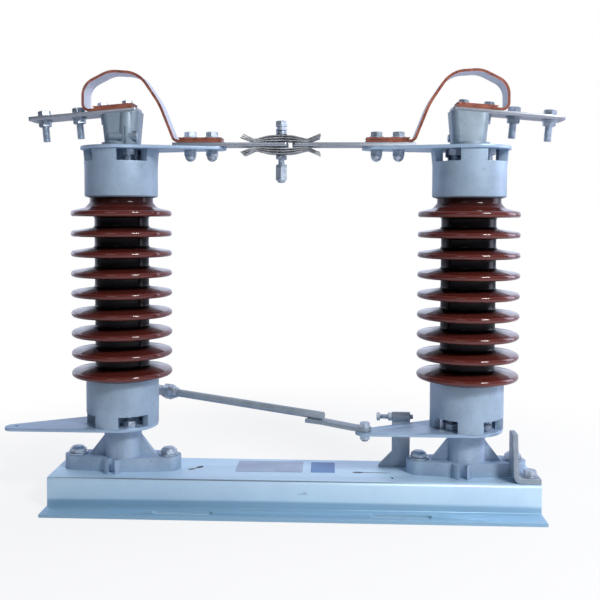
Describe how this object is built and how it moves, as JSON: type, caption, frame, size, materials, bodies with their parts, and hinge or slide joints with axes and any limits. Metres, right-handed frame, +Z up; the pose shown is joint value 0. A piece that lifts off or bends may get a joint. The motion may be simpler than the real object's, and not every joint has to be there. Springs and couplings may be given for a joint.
{
  "type": "substation disconnect switch",
  "caption": "Centre-break disconnect switch: two rotating brown porcelain posts on a galvanised top-hat base, with blades, contact fingers, terminal heads, straps and a cross link.",
  "frame": {"origin": "on the floor, at the centre of the four mounting slots, halfway between the two posts", "axes": "+Z up, +X along the base towards the post that carries the plain blade, -Y the side the blades swing to"},
  "size_m": [0.879, 0.28, 0.6915],
  "materials": {
    "base_galvanised": "matt hot-dip galvanised",
    "galvanised_steel": "hot-dip galvanised",
    "cast_seat": "galvanised casting",
    "cast_fitting": "galvanised casting",
    "cast_head": "sand-cast, unpainted",
    "brown_porcelain": "gloss brown glaze",
    "tinned_copper": "satin tin plating",
    "copper_laminate": "bare copper edges, tinned faces",
    "zinc_fasteners": "zinc plated",
    "nameplate_metal": "bare brushed sheet"
  },
  "bodies": {
    "base": {"base_frame": "base_galvanised", "nameplate": "nameplate_metal", "left_bearing_seat": "cast_seat", "left_bearing_bolts": "zinc_fasteners", "right_bearing_seat": "cast_seat", "right_bearing_bolts": "zinc_fasteners", "open_stop": "galvanised_steel", "closed_stop": "galvanised_steel", "stop_screw": "zinc_fasteners", "stop_bolts": "zinc_fasteners"},
    "left_column": {"left_lever_plate": "galvanised_steel", "left_lower_fitting": "cast_fitting", "left_lower_bolts": "zinc_fasteners", "left_porcelain": "brown_porcelain", "left_upper_fitting": "cast_fitting", "left_upper_bolts": "zinc_fasteners", "left_blade_plate": "galvanised_steel", "left_blade": "tinned_copper", "left_blade_bolts": "zinc_fasteners", "left_link_arm_bolt": "zinc_fasteners", "upper_contact_fingers": "tinned_copper", "lower_contact_fingers": "tinned_copper", "contact_bolt": "zinc_fasteners", "contact_springs": "zinc_fasteners"},
    "right_column": {"right_lever_plate": "galvanised_steel", "right_lower_fitting": "cast_fitting", "right_lower_bolts": "zinc_fasteners", "right_porcelain": "brown_porcelain", "right_upper_fitting": "cast_fitting", "right_upper_bolts": "zinc_fasteners", "right_blade_plate": "galvanised_steel", "right_blade": "tinned_copper", "right_blade_bolts": "zinc_fasteners", "right_lever_nut": "zinc_fasteners"},
    "left_head": {"left_terminal_head": "cast_head", "left_terminal_bar": "tinned_copper", "left_head_bolts": "zinc_fasteners", "left_terminal_bolts": "zinc_fasteners", "left_strap": "copper_laminate"},
    "right_head": {"right_terminal_head": "cast_head", "right_terminal_bar": "tinned_copper", "right_head_bolts": "zinc_fasteners", "right_terminal_bolts": "zinc_fasteners", "right_strap": "copper_laminate"},
    "cross_link": {"link_rod": "galvanised_steel", "link_coupling": "zinc_fasteners", "link_tongue_bolt": "zinc_fasteners"}
  },
  "joints": [
    {"name": "left_column_turn", "type": "hinge", "parent": "base", "child": "left_column", "pos_m": [-0.278, 0, 0.12], "axis": [0, 0, -1], "range_deg": [0, 90]},
    {"name": "right_column_turn", "type": "hinge", "parent": "base", "child": "right_column", "pos_m": [0.278, 0, 0.12], "axis": [0, 0, 1], "range_deg": [0, 90]},
    {"name": "link_swing", "type": "hinge", "parent": "left_column", "child": "cross_link", "pos_m": [-0.32, 0.164, 0.153], "axis": [0, 0, 1], "range_deg": [0, 90]},
    {"name": "left_terminal_turn", "type": "hinge", "parent": "left_column", "child": "left_head", "pos_m": [-0.278, 0, 0.59], "axis": [0, 0, 1], "range_deg": [0, 90], "deforming": ["left_strap"]},
    {"name": "right_terminal_turn", "type": "hinge", "parent": "right_column", "child": "right_head", "pos_m": [0.278, 0, 0.59], "axis": [0, 0, -1], "range_deg": [0, 90], "deforming": ["right_strap"]}
  ],
  "couplings": [
    {"joint": "right_column_turn", "follows": "left_column_turn", "ratio": 1},
    {"joint": "link_swing", "follows": "left_column_turn", "ratio": 1},
    {"joint": "left_terminal_turn", "follows": "left_column_turn", "ratio": 1},
    {"joint": "right_terminal_turn", "follows": "left_column_turn", "ratio": 1}
  ]
}
